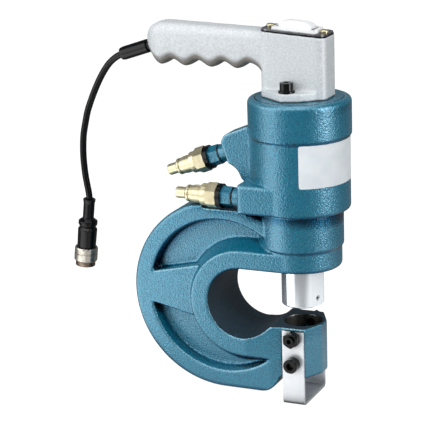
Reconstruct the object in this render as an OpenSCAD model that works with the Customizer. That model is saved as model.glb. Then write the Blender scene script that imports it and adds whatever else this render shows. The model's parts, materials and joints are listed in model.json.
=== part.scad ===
// Portable hydraulic hole punch: a C frame, a double-acting cylinder, a top grip with its control switch.
// Origin on the punch axis at the mouth of the die seat. +X leaves the throat, +Z is up along the ram.

/* [Throat] */
// Throat depth, from the punch axis to the back of the throat
throat_depth = 95; // [88:1:105]
// Radius of the round back of the throat
throat_r = 39.2; // [36:0.2:42]
// Daylight between the jaw top and the underside of the arm
throat_gap = 64.5; // [62:0.5:68]

/* [Frame casting] */
// Width of the thick band round the throat
band_w = 86.4; // [80:0.2:90]
// Thickness of that band at its face
band_t = 19.8; // [17:0.2:22]
// Extra band thickness where it runs into the web
band_flare = 10.8; // [6:0.2:12]
// Outer radius of the C rim
rim_r = 106.5; // [103:0.5:110]
// Width of the C rim
rim_w = 72; // [64:1:76]
// Radial thickness of the C rim
rim_t = 20.5; // [17:0.5:23]
// Thickness of the web at the bottom of the pockets
web_t = 40; // [30:1:44]
// Height of the spoke at the rim
spoke_tip_h = 34; // [26:1:40]
// Height of the spoke at the throat band
spoke_root_h = 58; // [50:1:64]

/* [Lower jaw] */
// Width of the jaw at the die seat
jaw_w = 65; // [60:0.5:70]
// Reach of the jaw in front of the punch axis
jaw_tip = 24.5; // [24:0.5:30]
// Width of the flat front of the jaw
jaw_front_w = 16; // [10:1:24]
// Height of the jaw below its top face
jaw_h = 57; // [52:1:62]
// Radius of the die seat
die_r = 21; // [18:0.5:22]
// Depth of the die seat
die_depth = 26; // [22:1:30]
// Radius of the slug hole under the die
slug_r = 15; // [10:0.5:16]

/* [Foot strap] */
// Width of the strap along X
strap_w = 24.7; // [20:0.1:28]
// Thickness of the strap
strap_t = 3; // [2.5:0.1:3.5]
// Height of the strap foot below the jaw top
strap_drop = 87.8; // [84:0.2:96]
// Nominal radius of the jaw screws
jaw_screw_r = 5; // [4:0.5:6]

/* [Hub and cylinder] */
// Radius of the nose at the end of the arm
nose_r = 43.6; // [43.4:0.1:45]
// Height of the nose above the underside of the arm
nose_h = 23.3; // [20:0.1:26]
// Radius of the hub above the nose
hub_r = 45.7; // [45:0.1:48]
// Height of the hub above the nose
hub_h = 40.7; // [38:0.1:46]
// Radius of the cylinder barrel
barrel_r = 53.6; // [51:0.1:55]
// Height of the plain barrel
barrel_h = 80.5; // [78:0.5:84]
// Radius of the thicker collar on top of the barrel
collar_r = 55.4; // [55:0.1:58]
// Height of the collar
collar_h = 40.5; // [38:0.5:44]
// Radius of the cylinder bore
bore_r = 37.5; // [36:0.1:38]
// Radius of the end plug
plug_r = 47; // [45:0.1:48.5]

/* [Ram] */
// Radius of the chromed ram
rod_r = 23.2; // [21:0.1:25]
// Height of the ram end above the jaw at rest
rod_rest = 20; // [19:0.5:24]
// Stroke of the ram
stroke = 18; // [12:0.5:18]
// Radius of the punch socket
socket_r = 12.5; // [9:0.5:14]
// Depth of the punch socket
socket_depth = 32; // [24:1:40]

/* [Ports] */
// Width of the upper port boss
boss_w = 28; // [27:0.5:32]
// Slope of the upper port, outwards and down
upper_slope = 20; // [16:0.5:22]
// Radius of the port threads
port_r = 8; // [6.5:0.1:8.4]
// Radius of the oil ways
oil_r = 3; // [2:0.1:3.5]
// Width across flats of the adapters
adapter_af = 19.5; // [18:0.5:22]
// Width across flats of the coupler nipples
nipple_af = 25; // [24:0.5:27]
// Travel of the coupler poppets
poppet_travel = 4; // [2:0.5:6]

/* [Handle] */
// Length of the handle block
block_l = 74; // [70:1:76]
// Width of the handle block
block_w = 38; // [36:1:42]
// Height of the handle block at its middle
block_h = 68; // [66:1:74]
// Slope of the switch face, down towards the front
face_slope = 4; // [0:0.5:6]
// Reach of the grip behind the punch axis
grip_reach = 174; // [168:1:190]
// Width of the grip
grip_w = 35; // [30:1:38]
// Depth of the finger grooves
groove_depth = 7; // [4:0.5:9]
// Length of one finger groove
groove_pitch = 30.1; // [28:0.1:32]

/* [Switch] */
// Length of the rocker
rocker_l = 37; // [30:1:38]
// Width of the rocker
rocker_w = 18; // [14:1:19]
// Height of the rocker above the plate
rocker_h = 9.5; // [8:0.5:13]
// Tilt of the rocker to each side
rocker_tilt = 6; // [3:0.5:7]

/* [Cord and plug] */
// Radius of the control cord
cord_r = 3.75; // [3:0.05:3.8]
// Radius of the sleeve on the cord
sleeve_r = 7.5; // [7:0.1:8.5]
// Outer radius of the plug boot
boot_r = 11.1; // [10.8:0.1:12.5]
// Outer radius of the coupling ring
ring_r = 13.3; // [13:0.1:14.5]

/* [Hidden] */
$fn = 72;
// Running fit of sliding and turning pieces, and fit of fixed pieces in their seats
run_fit = 0.05;
seat_fit = 0.1;
// Overlap that keeps cuts clear of a face
cut = 1;

// Throat centre and the planes that follow from it
throat_x = throat_r - throat_depth;
throat_z = throat_gap - throat_r;
band_r = throat_r + band_t;
hub_z = throat_gap + nose_h;
split_z = hub_z + hub_h;
collar_z = split_z + barrel_h;
top_z = collar_z + collar_h;

// Rim circle, behind and a little above the throat centre, and the flatter arc along its top
rim_x = throat_x - 24.9;
rim_z = throat_z + 4.7;
rim_in = rim_r - rim_t;
rim_round = 5;
crest_r = 192;
crest_x = throat_x - 42.2;
crest_z = split_z + 3.5 - crest_r;
pocket_draft = 1.2;
pocket_fillet = 3.5;
edge_round = 2.5;
plate_end_x = -20;
throat_core = (throat_r + band_r) / 2;
web_reach = band_r + band_flare + 11;

// Heel under the jaw, where the rim ends
heel_z = rim_z - rim_r;
heel_r = 26;
heel_x = throat_x + 14.8;
heel_core = rim_in + 10;
taper_start = throat_x + 4.8;
taper_end = -13;
nose_start = 12;

// Strap and jaw screws
strap_out = jaw_w / 2 + 0.6;
strap_in = strap_out - strap_t;
strap_top = -3;
strap_bend = 5;
lock_z = -11;
clamp_z = -40;
nut_af = 3.2 * jaw_screw_r;
nut_h = 1.7 * jaw_screw_r;
head_r = 1.6 * jaw_screw_r;
head_h = 2 * jaw_screw_r;
clamp_depth = 12;
lock_proud = 3;

// Cylinder insides, from the bottom up
wiper_z = throat_gap + 1.5;
wiper_h = 6;
wiper_r = rod_r + 4;
guide_z = throat_gap + 13.5;
guide_r = rod_r + 9;
flange_z = split_z - 24.5;
flange_t = 8;
spigot_r = hub_r - 4.7;
guide_top = split_z + 8.5;
port_z = guide_top + 6;
piston_rise = 31;
piston_z = guide_top + piston_rise;
piston_h = 26;
stop_gap = 0.5;
stop_z = piston_z - stroke - stop_gap;
stop_r = bore_r - 7.5;
rod_neck_step = 10;
rod_thread_step = 12;
rod_neck_r = rod_r - rod_neck_step;
rod_thread_r = rod_r - rod_thread_step;
piston_nut_h = 9;
piston_nut_af = 3 * rod_thread_r;
seal_depth = 3;
seal_h = 5;
piston_seal_z = [piston_z + 4, piston_z + piston_h - 9];
rod_seal_rise = 12;
rod_seal_z = guide_z + rod_seal_rise;
rod_seal_h = 7;
guide_seal_z = split_z - 8;
nut_room = 12;
plug_spigot_l = 18;
plug_z = piston_z + piston_h + nut_room;
plug_flange_z = plug_z + plug_spigot_l;
plug_seal_z = plug_z + 6;

// Punch set screw in the ram
punch_screw_r = 3;
rod_flat = rod_r - 2.7;
punch_screw_sink = 1;
punch_screw_l = rod_flat - punch_screw_sink - socket_r - 0.3;
punch_screw_z = rod_rest + 9;
punch_screw_turn = -17;

// Port bosses and the axes of the two ports
lower_port_y = -34;
lower_boss_front = 18.5;
lower_boss_back = 14;
lower_boss_h = 32;
lower_face_x = -barrel_r - 0.4;
lower_boss = [[lower_face_x, lower_port_y - lower_boss_front], [10, lower_port_y + lower_boss_back]];
upper_rise = 41;
upper_reach = 29.4;
upper_face = [-barrel_r - upper_reach, 0, port_z + upper_rise];
boss_scoop_r = 20;
stub_l = 8.4;
ring_t = 1.8;
hex_l = 12;
washer_t = 5;
thread_l = 13;
washer_r = nipple_af * 0.53;
hex_z = stub_l + ring_t;
washer_z = hex_z + hex_l;
nipple_z = washer_z + washer_t;
nipple_thread_l = 9.2;
nipple_hex_l = 12.4;
tip_r = 6.3;
nipple_l = 49.8;
valve_r = 4.2;
valve_mouth_r = 3.6;
valve_mouth_l = poppet_travel + 1;
poppet_l = 9;
poppet_gap = 0.3;
relief_gap = 0.8;
relief_l = nipple_hex_l + 8;

// Handle on the end plug
block_x = -1;
block_round = 9;
handle_flange_t = 9;
handle_flange = [[-37, 16], [-37, -16], [-6, -39], [14, -32], [35, -12], [35, 12], [14, 32], [-6, 39]];
handle_bolt_at = [-3, block_w / 2 + 9.3];
handle_bolt_r = 4;
handle_bolt_head_r = 7.3;
handle_bolt_flange_r = 8.8;
handle_bolt_head_h = 9;
handle_bolt_l = 20;
face_z = top_z + block_h;
grip_top_z = face_z + 7.5;
grip_rise = 0.04;
grip_low_z = face_z - 40.6;
grip_foot = 13;
grip_front_x = block_x - block_l / 2 + 8;
grip_rear_round = 22;
grip_bump_x = -156.5;

// Switch on the sloping face, in a frame with its zero on the face
gasket_t = 1.4;
plate_t = 1.6;
plate_inset = 1.2;
plate_z = gasket_t + plate_t;
bezel_gap = 2.5;
bezel_wall = 4;
bezel_h = 3;
rocker_lift = 2.5;
pivot_z = plate_z - 7;
pivot_r = 1.5;
stem = [7, 12];
switch_body_size = [34, 24, 24];
stem_slot_h = 14;
stem_slot = [stem.x + 2 * (stem_slot_h * tan(rocker_tilt) + 2), stem.y + 1.6, stem_slot_h];
pin_l = 20;
switch_screw_x = 30;
switch_screw_r = 2;
switch_screw_head_r = 4.7;
switch_screw_head_h = 3;
switch_screw_l = 12;

// Cord from the sleeve at the back of the grip down to the plug
sleeve_end = [-208, 0, 285];
sleeve_slope = 18;
sleeve_l = 34;
sleeve_spigot_r = 5.5;
sleeve_spigot_l = 16;
cord_sides = 10;
cord_play = 0.6;
cord_seat_l = 9;
cord_route = [
    [-197, 0, 288.6], [-206.5, 0, 285.5], [-215.5, 0, 281], [-224, 0, 274], [-231.5, 0, 264.5],
    [-238, 0, 254], [-244, 0, 242.5], [-249.5, 0, 230.5], [-254.5, 0, 218], [-258, 0, 205],
    [-261, 0, 192], [-262.5, 0, 179], [-263, 0, 166], [-262.5, 0, 153], [-261.5, 0, 142],
    [-260, 0, 132], [-258.7, 0, 124], [-258.2, 0, 117], [-258.5, 0, 110]
];
plug_at = [-258.2, 0, 116];
plug_lean = 7;
neck_r = 6.4;
neck_l = 23;
bulge_l = 10;
boot_l = 57;
shell_r = 9.3;
shell_z = 50;
shell_collar_z = 60.3;
barrel_end = 79.5;
ring_z = 57.5;
ring_l = 16;
insert_r = 9.5;
insert_z = 66;
pin_r = 0.8;
pin_circle = 5.5;
pin_count = 5;

paint = [0.22, 0.47, 0.58];
cast_alloy = [0.82, 0.84, 0.85];
steel = [0.78, 0.8, 0.82];
chrome = [0.9, 0.91, 0.93];
yellow_zinc = [0.86, 0.78, 0.5];
bronze = [0.72, 0.52, 0.3];
black = [0.08, 0.08, 0.09];
white = [0.95, 0.95, 0.95];
copper = [0.75, 0.45, 0.3];

// Outline with rounded corners: each point is [x, y, radius]
function unit(v) = v / norm(v);
function turn(a, b) = (b - a + 900) % 360 - 180;
function corner(p, q, s, r, n) =
    r == 0 ? [q] :
    let (
        u = unit(p - q),
        v = unit(s - q),
        half = acos(u * v) / 2,
        c = q + unit(u + v) * r / sin(half),
        from = q + u * r / tan(half) - c,
        to = q + v * r / tan(half) - c,
        a = atan2(from.y, from.x),
        sweep = turn(a, atan2(to.y, to.x))
    )
    [for (i = [0:n]) c + r * [cos(a + sweep * i / n), sin(a + sweep * i / n)]];
function xy(p) = [p[0], p[1]];
function rounded(pts, n = 5) =
    let (k = len(pts))
    [for (i = [0:k - 1])
        each corner(xy(pts[(i + k - 1) % k]), xy(pts[i]), xy(pts[(i + 1) % k]), pts[i][2], n)];
function box_outline(x0, y0, x1, y1, r) = rounded([[x0, y0, r], [x1, y0, r], [x1, y1, r], [x0, y1, r]]);

// An XZ outline made solid across Y, to the given half width
module across(half) {
    translate([0, half, 0]) rotate([90, 0, 0]) linear_extrude(2 * half) children();
}

// A revolved profile about the Y direction at [x, z]
module about_y(x, z) {
    translate([x, 0, z]) rotate([90, 0, 0]) rotate_extrude() children();
}

// A cylinder along Y, from the given start
module rod_y(r, y, l, sides = $fn) {
    translate([0, y, 0]) rotate([-90, 0, 0]) cylinder(r = r, h = l, $fn = sides);
}

module ring(r_out, r_in, h) {
    difference() {
        cylinder(r = r_out, h = h);
        translate([0, 0, -cut]) cylinder(r = r_in, h = h + 2 * cut);
    }
}

module hex(af, h) {
    cylinder(d = af / cos(30), h = h, $fn = 6);
}

// Both sides of the object
module both_sides() {
    children();
    mirror([0, 1, 0]) children();
}

// C frame
module rim_profile() {
    half = rim_w / 2;
    web = web_t / 2;
    wall = rim_in - pocket_draft;
    polygon(rounded([
        [0, -web, 0], [wall, -web, pocket_fillet], [rim_in, -half, edge_round], [rim_r, -half, rim_round],
        [rim_r, half, rim_round], [rim_in, half, edge_round], [wall, web, pocket_fillet], [0, web, 0]
    ]));
}

module crest_profile() {
    half = rim_w / 2;
    polygon(rounded([[0, -half, 0], [crest_r, -half, rim_round], [crest_r, half, rim_round], [0, half, 0]]));
}

module band_profile(inner) {
    half = band_w / 2;
    web = web_t / 2;
    root = band_r + band_flare;
    polygon(rounded([
        [inner, -half, edge_round], [band_r, -half, edge_round],
        [root, -web, pocket_fillet], [web_reach, -web, 0],
        [web_reach, web, 0], [root, web, pocket_fillet],
        [band_r, half, edge_round], [inner, half, edge_round]
    ]));
}

// Plan of the lower jaw: full band width, tapering to the jaw and its chamfered nose
module jaw_plan(back) {
    wide = band_w / 2;
    slim = jaw_w / 2;
    tip = jaw_front_w / 2;
    polygon(rounded([
        [back, -wide, 0], [taper_start, -wide, 6], [taper_end, -slim, 6],
        [nose_start, -slim, 4], [jaw_tip, -tip, 4], [jaw_tip, tip, 4], [nose_start, slim, 4],
        [taper_end, slim, 6], [taper_start, wide, 6], [back, wide, 0]
    ]));
}

module rim_plate() {
    difference() {
        intersection() {
            about_y(rim_x, rim_z) rim_profile();
            about_y(crest_x, crest_z) crest_profile();
            translate([0, 0, rim_z - rim_r - cut]) linear_extrude(2 * rim_r + 2 * cut)
                intersection() {
                    jaw_plan(rim_x - rim_r - cut);
                    translate([rim_x - rim_r - cut, -band_w])
                        square([plate_end_x - rim_x + rim_r + cut, 2 * band_w]);
                }
        }
        about_y(throat_x, throat_z) translate([0, -band_w]) square([throat_core, 2 * band_w]);
        translate([throat_x, -band_w, throat_z - throat_core])
            cube([throat_depth, 2 * band_w, 2 * throat_core]);
    }
}

module spoke() {
    tip_x = rim_x - rim_in - edge_round;
    root_x = throat_x - band_r;
    across(rim_w / 2) polygon([
        [tip_x, rim_z - spoke_tip_h / 2 + 2], [root_x, rim_z - spoke_root_h / 2 + 2],
        [root_x + band_t / 2, rim_z],
        [root_x, rim_z + spoke_root_h / 2 + 2], [tip_x, rim_z + spoke_tip_h / 2 + 2]
    ]);
}

module throat_band() {
    translate([throat_x, 0, throat_z]) rotate([90, 0, 0]) rotate([0, 0, 90])
        rotate_extrude(angle = 180) band_profile(throat_r);
    translate([0, 0, throat_z]) rotate([0, -90, 0]) linear_extrude(-throat_x) band_profile(throat_r);
}

module jaw() {
    low = throat_z - band_r;
    intersection() {
        translate([0, 0, heel_z - cut]) linear_extrude(-heel_z + cut) jaw_plan(rim_x - cut);
        union() {
            difference() {
                across(band_w)
                    polygon([[throat_x, 0], [throat_x, low], [jaw_tip + cut, low], [jaw_tip + cut, 0]]);
                about_y(throat_x, throat_z) translate([0, -2 * band_w]) square([throat_r, 4 * band_w]);
            }
            translate([throat_x, 0, throat_z]) rotate([0, 90, 0]) linear_extrude(plate_end_x - throat_x)
                band_profile(throat_core);
            across(band_w) polygon([
                [plate_end_x - 3, low + cut], [plate_end_x - 3, -jaw_h],
                [jaw_tip + cut, -jaw_h], [jaw_tip + cut, low + cut]
            ]);
        }
    }
    heel();
}

module heel() {
    intersection() {
        translate([0, 0, heel_z - cut]) linear_extrude(-heel_z + cut) jaw_plan(rim_x - cut);
        across(rim_w / 2) difference() {
            union() {
                translate([heel_x, heel_z + heel_r]) circle(heel_r);
                translate([rim_x, heel_z]) square([heel_x - rim_x, heel_r]);
                translate([heel_x, -jaw_h]) square([plate_end_x - heel_x, jaw_h + throat_z - band_r]);
            }
            translate([rim_x, rim_z]) circle(heel_core, $fn = 144);
        }
        translate([rim_x - cut, 0, 0]) rotate([90, 0, 90]) linear_extrude(rim_r)
            polygon(box_outline(-rim_w / 2, heel_z, rim_w / 2, 0, rim_round));
    }
}

module hub() {
    rotate_extrude() polygon(rounded([
        [0, throat_gap, 0], [nose_r, throat_gap, 4], [nose_r, hub_z, 0], [hub_r, hub_z, 1.5],
        [hub_r, split_z, 1], [0, split_z, 0]
    ]));
}

module frame_bores() {
    translate([0, 0, -die_depth]) cylinder(r = die_r, h = die_depth + cut);
    translate([0, 0, -jaw_h - cut]) cylinder(r = slug_r, h = jaw_h);
    translate([0, 0, throat_gap - cut]) cylinder(r = rod_r + 0.6, h = split_z);
    translate([0, 0, wiper_z]) cylinder(r = wiper_r, h = wiper_h);
    translate([0, 0, guide_z]) cylinder(r = guide_r + seat_fit, h = split_z);
    translate([0, 0, flange_z]) cylinder(r = spigot_r + seat_fit, h = split_z);
    both_sides() {
        translate([0, 0, lock_z]) rod_y(jaw_screw_r, -jaw_w, jaw_w);
        translate([0, 0, clamp_z]) rod_y(jaw_screw_r, -strap_in - cut - jaw_w, jaw_w + cut + clamp_depth);
        translate([-strap_w / 2 - seat_fit, -jaw_w, heel_z])
            cube([strap_w + 2 * seat_fit, jaw_w - strap_in, strap_top + seat_fit - heel_z]);
    }
}

// Room on top of the rim for the lower coupler
module coupler_relief() {
    to_lower_port() cylinder(r = nipple_af / 2 / cos(30) + relief_gap, h = nipple_z + relief_l);
}

module c_frame() {
    color(paint) difference() {
        union() {
            rim_plate();
            spoke();
            throat_band();
            jaw();
            hub();
        }
        frame_bores();
        coupler_relief();
    }
}

// Cylinder
module to_lower_port() {
    translate([lower_boss[0].x, lower_port_y, port_z]) rotate([0, -90, 0]) children();
}

module to_upper_port() {
    translate(upper_face) rotate([0, -90 - upper_slope, 0]) children();
}

module lower_boss_block() {
    a = lower_boss[0];
    b = lower_boss[1];
    intersection() {
        translate([0, 0, split_z]) linear_extrude(lower_boss_h) polygon(box_outline(a.x, a.y, b.x, b.y, 5));
        translate([a.x, 0, 0]) rotate([90, 0, 90]) linear_extrude(b.x - a.x)
            polygon(box_outline(a.y, split_z, b.y, split_z + lower_boss_h, 4));
    }
}

module upper_boss_block() {
    x = upper_face.x;
    z = port_z;
    intersection() {
        across(boss_w / 2) difference() {
            polygon(rounded([
                [x + 53, z + 80, 0], [x + 25, z + 72, 0], [x + 0.5, z + 62, 5], [x - 4.5, z + 54, 4],
                [x + 4, z + 30.5, 1], [x + 26, z + 8, 0], [x + 53, z + 8, 0]
            ]));
            translate([x - 1, z + 11]) circle(boss_scoop_r);
        }
        translate([0, 0, split_z]) linear_extrude(top_z - split_z)
            polygon(box_outline(x - 17, -boss_w / 2, 0, boss_w / 2, 4));
    }
}

module cylinder_body() {
    color(paint) difference() {
        union() {
            rotate_extrude() polygon(rounded([
                [0, split_z, 0], [barrel_r, split_z, 3], [barrel_r, collar_z, 0.8], [collar_r, collar_z, 0.8],
                [collar_r, top_z, 5], [0, top_z, 0]
            ]));
            translate([0, 0, flange_z + flange_t]) cylinder(r = spigot_r, h = split_z - flange_z);
            lower_boss_block();
            upper_boss_block();
        }
        translate([0, 0, flange_z]) cylinder(r = bore_r, h = top_z);
        translate([0, 0, plug_flange_z]) cylinder(r = plug_r, h = top_z);
        to_lower_port() {
            translate([0, 0, -thread_l - cut]) cylinder(r = port_r + run_fit, h = thread_l + 2 * cut);
            translate([0, 0, lower_boss[0].x + bore_r / 3]) cylinder(r = oil_r, h = -lower_boss[0].x);
        }
        to_upper_port() {
            translate([0, 0, -thread_l - cut]) cylinder(r = port_r + run_fit, h = thread_l + 3 * cut);
            translate([0, 0, upper_face.x + bore_r / 2])
                cylinder(r = oil_r, h = -upper_face.x - bore_r / 2);
        }
    }
}

module end_plug() {
    color(paint) difference() {
        union() {
            translate([0, 0, plug_z]) cylinder(r = bore_r - seat_fit, h = plug_flange_z - plug_z + cut);
            translate([0, 0, plug_flange_z]) cylinder(r = plug_r - seat_fit, h = top_z - plug_flange_z);
        }
        translate([0, 0, plug_seal_z]) ring(bore_r + cut, bore_r - seal_depth, seal_h);
        both_sides() translate([handle_bolt_at.x, -handle_bolt_at.y, top_z - handle_bolt_l + handle_flange_t])
            cylinder(r = handle_bolt_r + run_fit, h = handle_bolt_l);
    }
}

// Seal of the cylinder bore, free in its groove by the running fit
module seal_ring() {
    translate([0, 0, run_fit]) ring(bore_r - run_fit, bore_r - seal_depth + run_fit, seal_h - 2 * run_fit);
}

module end_plug_seal() {
    color(black) translate([0, 0, plug_seal_z]) seal_ring();
}

module rod_guide() {
    color(bronze) difference() {
        union() {
            translate([0, 0, guide_z]) cylinder(r = guide_r, h = flange_z - guide_z + cut);
            translate([0, 0, flange_z]) cylinder(r = spigot_r, h = flange_t);
            translate([0, 0, flange_z]) cylinder(r = bore_r - seat_fit, h = guide_top - flange_z);
            translate([0, 0, flange_z]) cylinder(r = stop_r, h = stop_z - flange_z);
        }
        translate([0, 0, guide_z - cut]) cylinder(r = rod_r + run_fit, h = stop_z);
        translate([0, 0, rod_seal_z]) cylinder(r = wiper_r, h = rod_seal_h);
        translate([0, 0, guide_seal_z]) ring(bore_r + cut, bore_r - seal_depth, seal_h);
    }
}

module guide_seal() {
    color(black) translate([0, 0, guide_seal_z]) seal_ring();
}

module rod_seal() {
    color(black) translate([0, 0, rod_seal_z]) ring(wiper_r, rod_r + run_fit, rod_seal_h);
}

module rod_wiper() {
    color(black) translate([0, 0, wiper_z]) ring(wiper_r, rod_r + run_fit, wiper_h);
}

// Ram
module piston_rod() {
    color(chrome) difference() {
        rotate_extrude() polygon(rounded([
            [0, rod_rest, 0], [rod_r, rod_rest, 2], [rod_r, piston_z, 0], [rod_neck_r, piston_z, 0],
            [rod_neck_r, piston_z + piston_h, 0], [rod_thread_r, piston_z + piston_h, 0],
            [rod_thread_r, piston_z + piston_h + piston_nut_h, 1], [0, piston_z + piston_h + piston_nut_h, 0]
        ]));
        translate([0, 0, rod_rest - cut]) cylinder(r = socket_r, h = socket_depth + cut);
        to_punch_screw() cylinder(r = punch_screw_r, h = rod_r);
        rotate([0, 0, punch_screw_turn]) translate([rod_flat, -rod_r, rod_rest - cut])
            cube([rod_r, 2 * rod_r, throat_gap + 1 - rod_rest]);
    }
}

module to_punch_screw() {
    translate([0, 0, punch_screw_z]) rotate([0, 90, punch_screw_turn]) children();
}

module punch_set_screw() {
    inner = rod_flat - punch_screw_sink - punch_screw_l;
    color(black) to_punch_screw() translate([0, 0, inner]) difference() {
        cylinder(r = punch_screw_r - run_fit, h = punch_screw_l);
        translate([0, 0, punch_screw_l - punch_screw_r]) hex(punch_screw_r, punch_screw_r + cut);
    }
}

module piston() {
    color(steel) difference() {
        translate([0, 0, piston_z]) ring(bore_r - run_fit, rod_neck_r + run_fit, piston_h);
        for (z = piston_seal_z) translate([0, 0, z]) ring(bore_r + cut, bore_r - seal_depth, seal_h);
    }
}

module piston_seals() {
    color(black) for (z = piston_seal_z)
        translate([0, 0, z]) seal_ring();
}

module piston_nut() {
    color(steel) translate([0, 0, piston_z + piston_h]) difference() {
        hex(piston_nut_af, piston_nut_h);
        translate([0, 0, -cut]) cylinder(r = rod_thread_r + run_fit, h = piston_nut_h + 2 * cut);
    }
}

// Hose connections, each along +Z from the face of its boss
module adapter() {
    neck = port_r + 0.5;
    difference() {
        union() {
            translate([0, 0, -thread_l]) cylinder(r = port_r, h = thread_l + cut);
            cylinder(r = adapter_af / 2 + 0.25, h = stub_l);
            cylinder(r = neck, h = hex_z + cut);
            translate([0, 0, hex_z]) hex(adapter_af, hex_l);
            translate([0, 0, washer_z - cut]) cylinder(r = port_r, h = washer_t + nipple_thread_l);
        }
        translate([0, 0, -thread_l - cut])
            cylinder(r = oil_r, h = thread_l + nipple_z + nipple_thread_l + 2 * cut);
    }
}

module adapter_ring() {
    translate([0, 0, stub_l]) ring(adapter_af / 2 + 0.6, port_r + 0.5 + run_fit, ring_t);
}

module coupler_washer() {
    translate([0, 0, washer_z]) ring(washer_r, port_r + run_fit, washer_t);
}

module nipple() {
    tip = nipple_z + nipple_l;
    mouth = tip - valve_mouth_l;
    chamber = nipple_z + nipple_thread_l;
    difference() {
        union() {
            translate([0, 0, nipple_z]) intersection() {
                hex(nipple_af, nipple_hex_l);
                rotate_extrude() polygon([
                    [0, 0], [nipple_af * 0.58, 0], [nipple_af * 0.58, nipple_hex_l - 1.6],
                    [nipple_af / 2, nipple_hex_l], [0, nipple_hex_l]
                ]);
            }
            translate([0, 0, nipple_z + nipple_hex_l]) rotate_extrude() polygon(rounded([
                [0, -1, 0], [12, -1, 0], [12, 6.8, 1], [9.75, 6.8, 0], [9.75, 16.2, 0.6], [9.2, 16.2, 0],
                [9.2, 19, 0.6], [8.3, 19.5, 0], [8.3, 21.1, 0], [9.2, 21.5, 0.6], [9.2, 24.2, 0.8],
                [5.9, 24.2, 0], [5.9, 25.8, 0], [tip_r, 25.8, 0], [tip_r, nipple_l - nipple_hex_l, 1.2],
                [0, nipple_l - nipple_hex_l, 0]
            ], 3));
        }
        translate([0, 0, nipple_z - cut]) cylinder(r = port_r + run_fit, h = nipple_thread_l + cut);
        translate([0, 0, chamber - cut]) cylinder(r = valve_r, h = mouth - chamber + cut);
        translate([0, 0, mouth - cut]) cylinder(r = valve_mouth_r, h = valve_mouth_l + 2 * cut);
    }
}

module poppet() {
    mouth = nipple_z + nipple_l - valve_mouth_l;
    translate([0, 0, mouth - seat_fit - poppet_l]) cylinder(r = valve_r - run_fit, h = poppet_l);
    translate([0, 0, mouth - cut]) cylinder(r = valve_mouth_r - poppet_gap, h = valve_mouth_l + cut - 0.5);
    translate([0, 0, mouth - 2 * poppet_l]) cylinder(r = valve_r / 3, h = poppet_l);
}

module upper_adapter() {
    color(paint) to_upper_port() adapter();
}

module lower_adapter() {
    color(paint) to_lower_port() adapter();
}

module adapter_rings() {
    color(black) {
        to_upper_port() adapter_ring();
        to_lower_port() adapter_ring();
    }
}

module coupler_washers() {
    color(black) {
        to_upper_port() coupler_washer();
        to_lower_port() coupler_washer();
    }
}

module upper_nipple() {
    color(yellow_zinc) to_upper_port() nipple();
}

module lower_nipple() {
    color(yellow_zinc) to_lower_port() nipple();
}

module upper_poppet() {
    color(steel) to_upper_port() poppet();
}

module lower_poppet() {
    color(steel) to_lower_port() poppet();
}

// Handle
function grip_top(x) = grip_top_z - grip_rise * (x + grip_reach - 3 * grip_rear_round / 4);
function grip_wave(x) = groove_depth * pow(sin(180 * (x - grip_bump_x) / groove_pitch), 2);
function grip_blend(x) =
    let (start = grip_front_x - 24)
    x < start ? 0 : (groove_depth + grip_foot) * (1 - sqrt(max(0, 1 - pow(min(1, (x - start) / 20), 2))));
function grip_groove(x) = x > grip_front_x - 24 ? groove_depth : grip_wave(x);
function grip_low(x) = grip_low_z + grip_groove(x) - grip_blend(x);
function grip_end(x) =
    let (t = min(1, (x + grip_reach) / grip_rear_round))
    max(0.3, sqrt(max(0, 1 - pow(1 - t, 2))));
function squarish(c) = sign(c) * pow(abs(c), 0.5);
function grip_ring(x, sides) =
    let (s = grip_end(x), mid = (grip_top(x) + grip_low(x)) / 2, half = (grip_top(x) - grip_low(x)) / 2)
    [for (i = [0:sides - 1])
        let (a = 360 * i / sides)
        [x, s * grip_w / 2 * squarish(cos(a)), mid + s * half * squarish(sin(a))]];

// Closed skin over equal rings of points
module loft(rings) {
    n = len(rings[0]);
    last = len(rings) - 1;
    polyhedron(
        points = [for (r = rings) each r],
        faces = concat(
            [[for (i = [0:n - 1]) i]],
            [for (k = [0:last - 1], i = [0:n - 1]) [k * n + i, (k + 1) * n + i, k * n + (i + 1) % n]],
            [for (k = [0:last - 1], i = [0:n - 1])
                [k * n + (i + 1) % n, (k + 1) * n + i, (k + 1) * n + (i + 1) % n]],
            [[for (i = [n - 1:-1:0]) last * n + i]]
        )
    );
}

module grip() {
    steps = 48;
    sides = 20;
    span = grip_front_x + grip_reach;
    loft([for (k = [0:steps])
        let (t = k / steps, eased = t < 0.15 ? t * t / 0.3 + 0.0001 : t - 0.075)
        grip_ring(-grip_reach + span * eased / 0.925, sides)]);
}

module block_outline(inset = 0) {
    polygon(box_outline(block_x - block_l / 2 + inset, -block_w / 2 + inset, block_x + block_l / 2 - inset,
        block_w / 2 - inset, block_round - inset));
}

// The switch frame: zero on the middle of the sloping face
module on_face() {
    translate([block_x, 0, face_z]) rotate([0, face_slope, 0]) children();
}

module handle_block() {
    difference() {
        translate([0, 0, top_z]) linear_extrude(block_h + block_l / 4) block_outline();
        on_face() translate([-block_l, -block_w, 0]) cube([2 * block_l, 2 * block_w, block_l]);
    }
    translate([0, 0, top_z]) linear_extrude(handle_flange_t)
        polygon(rounded([for (p = handle_flange) [p.x, p.y, 3]]));
}

module sleeve_axis() {
    translate(sleeve_end) rotate([0, 90 - sleeve_slope, 0]) children();
}

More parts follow.
